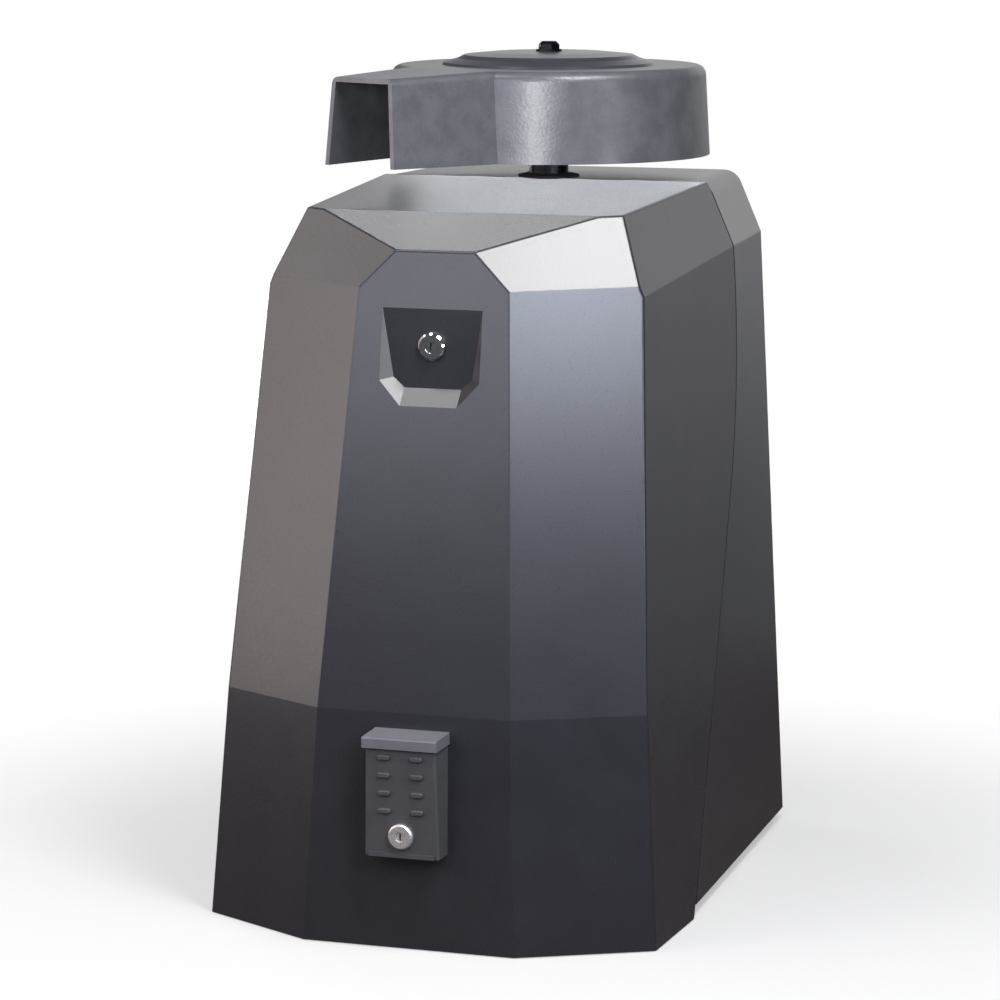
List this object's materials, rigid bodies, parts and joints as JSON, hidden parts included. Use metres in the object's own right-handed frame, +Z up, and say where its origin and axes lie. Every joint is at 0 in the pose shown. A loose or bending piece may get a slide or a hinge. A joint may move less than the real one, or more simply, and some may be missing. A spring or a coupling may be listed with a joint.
{
  "type": "swing gate operator",
  "caption": "Pad-mounted swing gate operator: faceted two-shell housing with key lock and hooded key box, worm drive inside, and a round cast arm hub with an open arm socket.",
  "frame": {"origin": "centre of the four anchor holes, on the mounting face under the base plate", "axes": "+Z up along the output shaft, front panel towards -Y, +X to the right seen from the front"},
  "size_m": [0.4568, 0.629, 0.825],
  "materials": {
    "cover_plastic": "charcoal grey moulded plastic, satin",
    "hub_paint": "grey hammered paint on a casting",
    "box_plastic": "grey moulded plastic",
    "chrome": "polished plating",
    "zinc_steel": "zinc plated steel",
    "bright_steel": "ground steel",
    "dark_steel": "black oxide steel",
    "cast_iron": "painted grey casting",
    "frame_paint": "black powder coat",
    "motor_paint": "grey enamel",
    "bronze": "machined bronze",
    "lamination": "varnished laminations",
    "rubber": "black rubber",
    "black_plastic": "black moulded plastic",
    "ivory_plastic": "ivory moulded plastic",
    "board_green": "solder-masked board"
  },
  "bodies": {
    "chassis": {"rear_cover": "cover_plastic", "lock_strike": "zinc_steel", "cover_standoffs": "zinc_steel", "rear_cover_screws": "zinc_steel", "gearbox_cover_bolts": "zinc_steel", "frame_bolts": "zinc_steel", "limit_bracket": "zinc_steel", "control_tray": "zinc_steel", "outlet_box": "zinc_steel", "ball_bearings": "bright_steel", "oil_plug": "bright_steel", "gearbox_housing": "cast_iron", "gearbox_cover": "cast_iron", "worm_cap_front": "cast_iron", "worm_cap_rear": "cast_iron", "base_plate": "frame_paint", "frame_side_left": "frame_paint", "frame_side_right": "frame_paint", "gearbox_deck": "frame_paint", "motor_shelf": "frame_paint", "motor_cradle": "frame_paint", "motor_housing": "motor_paint", "motor_bell_front": "motor_paint", "motor_bell_rear": "motor_paint", "motor_stator": "lamination", "transformer": "lamination", "v_belt": "rubber", "output_seal": "rubber", "shaft_grommet": "rubber", "limit_switches": "black_plastic", "motor_capacitor": "black_plastic", "outlet": "ivory_plastic", "circuit_board": "board_green"},
    "front_cover": {"front_cover": "cover_plastic", "cover_lock_body": "chrome", "cover_lock_nut": "zinc_steel", "key_box_body": "box_plastic", "key_box_hood": "box_plastic", "reset_switch_body": "chrome", "reset_switch_nut": "zinc_steel", "alarm_sounder": "black_plastic"},
    "lock_plug": {"cover_lock_plug": "chrome", "cover_lock_cam": "zinc_steel"},
    "reset_plug": {"reset_switch_plug": "chrome"},
    "output_hub": {"arm_hub": "hub_paint", "hub_disc": "hub_paint", "hub_washer": "dark_steel", "hub_bolt": "dark_steel", "shaft_keys": "bright_steel", "output_shaft": "bright_steel", "worm_wheel": "bronze", "limit_cam_open": "zinc_steel", "limit_cam_close": "zinc_steel"},
    "worm": {"worm_shaft": "bright_steel", "drive_pulley": "cast_iron"},
    "motor_rotor": {"motor_rotor": "bright_steel", "motor_pulley": "cast_iron"},
    "limit_lever_open": {"limit_lever_open": "zinc_steel"},
    "limit_lever_close": {"limit_lever_close": "zinc_steel"},
    "power_switch": {"power_switch": "black_plastic"}
  },
  "joints": [
    {"name": "motor_spin", "type": "hinge", "parent": "chassis", "child": "motor_rotor", "pos_m": [0.06, 0.0263, 0.27], "axis": [0, 1, 0], "range_deg": [-8000, 1770]},
    {"name": "worm_spin", "type": "hinge", "parent": "chassis", "child": "worm", "pos_m": [0.1, 0.0263, 0.5475], "axis": [0, 1, 0], "continuous": true},
    {"name": "hub_swing", "type": "hinge", "parent": "chassis", "child": "output_hub", "pos_m": [0, 0.138, 0.7], "axis": [0, 0, 1], "range_deg": [-20, 90]},
    {"name": "front_cover_pull", "type": "slide", "parent": "chassis", "child": "front_cover", "axis": [0, -1, 0], "range_m": [0, 0.45]},
    {"name": "lock_turn", "type": "hinge", "parent": "front_cover", "child": "lock_plug", "pos_m": [0, -0.22, 0.558], "axis": [0, 1, 0], "range_deg": [0, 90]},
    {"name": "reset_key_turn", "type": "hinge", "parent": "front_cover", "child": "reset_plug", "pos_m": [0, -0.3245, 0.11237], "axis": [0, 0.9993, 0.0384], "range_deg": [0, 60]},
    {"name": "limit_open_press", "type": "hinge", "parent": "chassis", "child": "limit_lever_open", "pos_m": [-0.0555, 0.1475, 0.6355], "axis": [0, 0, 1], "range_deg": [-8, 0], "stiffness_Nm_per_rad": 0.05},
    {"name": "limit_close_press", "type": "hinge", "parent": "chassis", "child": "limit_lever_close", "pos_m": [-0.0555, 0.1475, 0.6505], "axis": [0, 0, 1], "range_deg": [-8, 0], "stiffness_Nm_per_rad": 0.05},
    {"name": "power_switch_throw", "type": "hinge", "parent": "chassis", "child": "power_switch", "pos_m": [0.032, -0.111, 0.0825], "axis": [1, 0, 0], "range_deg": [0, 28]}
  ],
  "couplings": [
    {"joint": "worm_spin", "follows": "motor_spin", "ratio": 0.44954},
    {"joint": "hub_swing", "follows": "motor_spin", "ratio": -0.011239}
  ]
}
